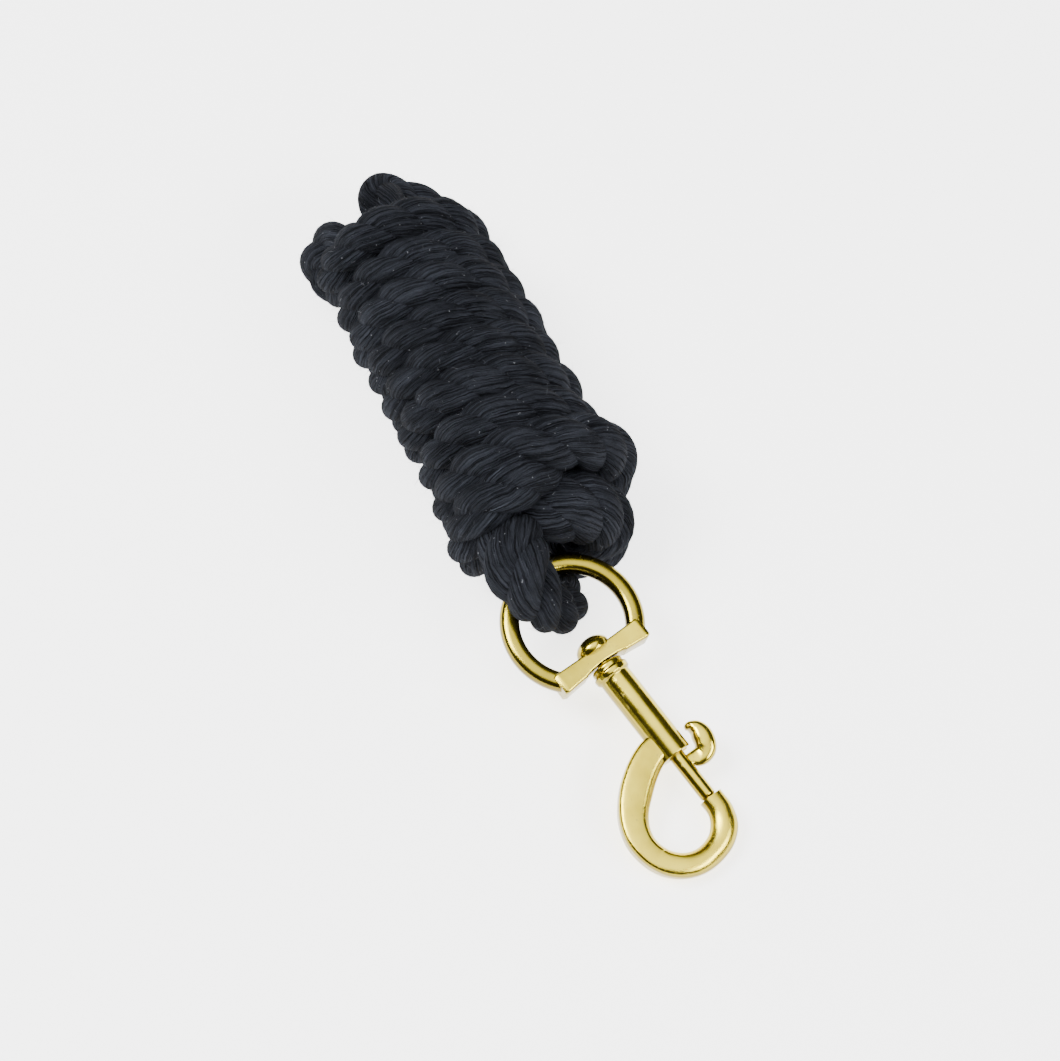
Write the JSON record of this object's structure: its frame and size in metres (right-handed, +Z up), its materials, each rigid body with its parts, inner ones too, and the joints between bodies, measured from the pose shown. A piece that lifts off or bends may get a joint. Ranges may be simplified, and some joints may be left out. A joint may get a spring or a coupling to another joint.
{
  "type": "horse lead rope",
  "caption": "Horse lead rope of black cotton cord wound into a hank, with a swivel bolt snap of plated brass.",
  "frame": {"origin": "on the floor, under the middle of the whole object as it lies", "axes": "+X from the hank's closed end towards the snap, +Y to the side of the snap's thumb knob, +Z up"},
  "size_m": [0.2504, 0.0628, 0.0568],
  "materials": {
    "black_cotton": "matte twisted cotton",
    "plated_brass": "polished, with satin faces",
    "spring_steel": "plain drawn wire"
  },
  "bodies": {
    "hank": {"wrapped_turns": "black_cotton", "rope_eye": "black_cotton", "near_bight": "black_cotton", "far_bight_low": "black_cotton", "far_bight_top": "black_cotton", "last_turn": "black_cotton"},
    "eye": {"swivel_eye": "plated_brass"},
    "snap": {"swivel_rivet": "plated_brass", "snap_body": "plated_brass", "plunger_spring": "spring_steel"},
    "bolt": {"plunger_bolt": "plated_brass", "thumb_knob": "plated_brass"}
  },
  "joints": [
    {"name": "eye_swing", "type": "hinge", "parent": "hank", "child": "eye", "pos_m": [0.02452, -0.01253, 0.02179], "axis": [0.2198, -0.9755, 0], "range_deg": [0, 35]},
    {"name": "snap_swivel", "type": "hinge", "parent": "eye", "child": "snap", "pos_m": [0.04265, -0.00844, 0.01835], "axis": [0.9592, 0.2162, -0.1822], "continuous": true},
    {"name": "bolt_slide", "type": "slide", "parent": "snap", "child": "bolt", "axis": [-0.9592, -0.2162, 0.1822], "range_m": [0, 0.0125], "stiffness_N_per_m": 400, "springref_m": -0.008, "deforming": ["plunger_spring"]}
  ]
}
